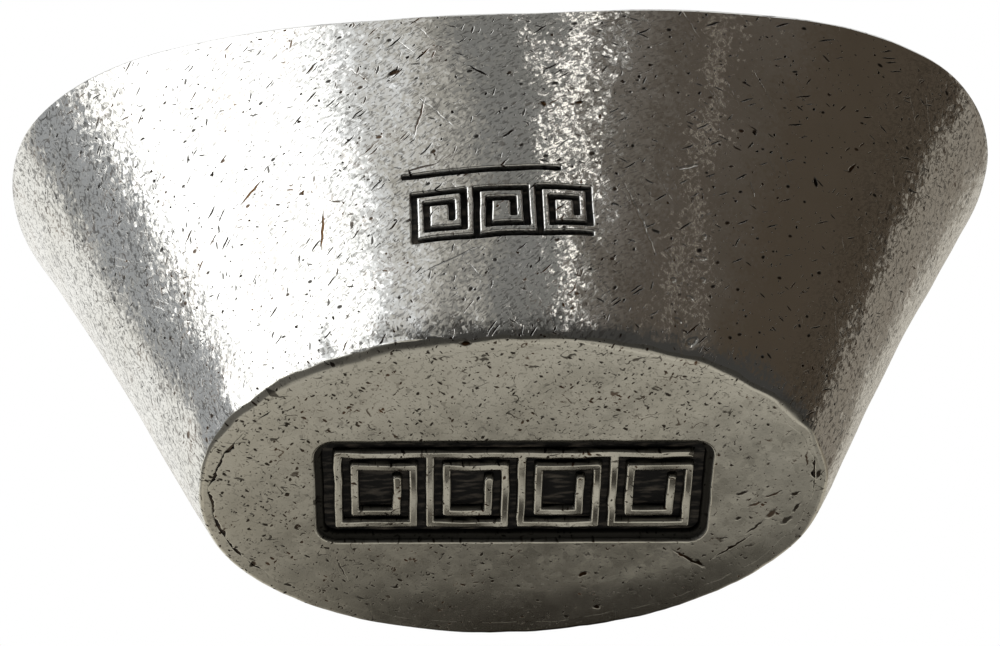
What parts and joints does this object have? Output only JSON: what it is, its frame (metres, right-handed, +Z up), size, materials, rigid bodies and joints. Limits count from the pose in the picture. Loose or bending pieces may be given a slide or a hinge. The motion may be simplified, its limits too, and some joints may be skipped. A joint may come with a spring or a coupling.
{
  "type": "sycee ingot",
  "caption": "Boat-shaped silver ingot with a flared oval wall, raised ears, a dished top and a flat foot with a sunk fret panel.",
  "frame": {"origin": "middle of the flat foot", "axes": "+X along the length towards one ear, +Y across the width away from the struck mark, +Z up"},
  "size_m": [0.0716, 0.0402, 0.0335],
  "materials": {
    "worn_silver": "cast silver, hand polished, scratched and pitted with dark dirt in the pits",
    "dull_silver": "matte cast silver, lightly tarnished, speckled with brown and black pits",
    "solder": "dull dark solder, blackened with age",
    "blackening": "matte black patina left in the sunk places"
  },
  "bodies": {
    "root": {"side_wall": "worn_silver", "base_plate": "dull_silver", "base_solder": "solder", "top_pan": "worn_silver", "rim_solder": "solder", "panel_black": "blackening", "mark_black": "blackening"}
  },
  "joints": []
}
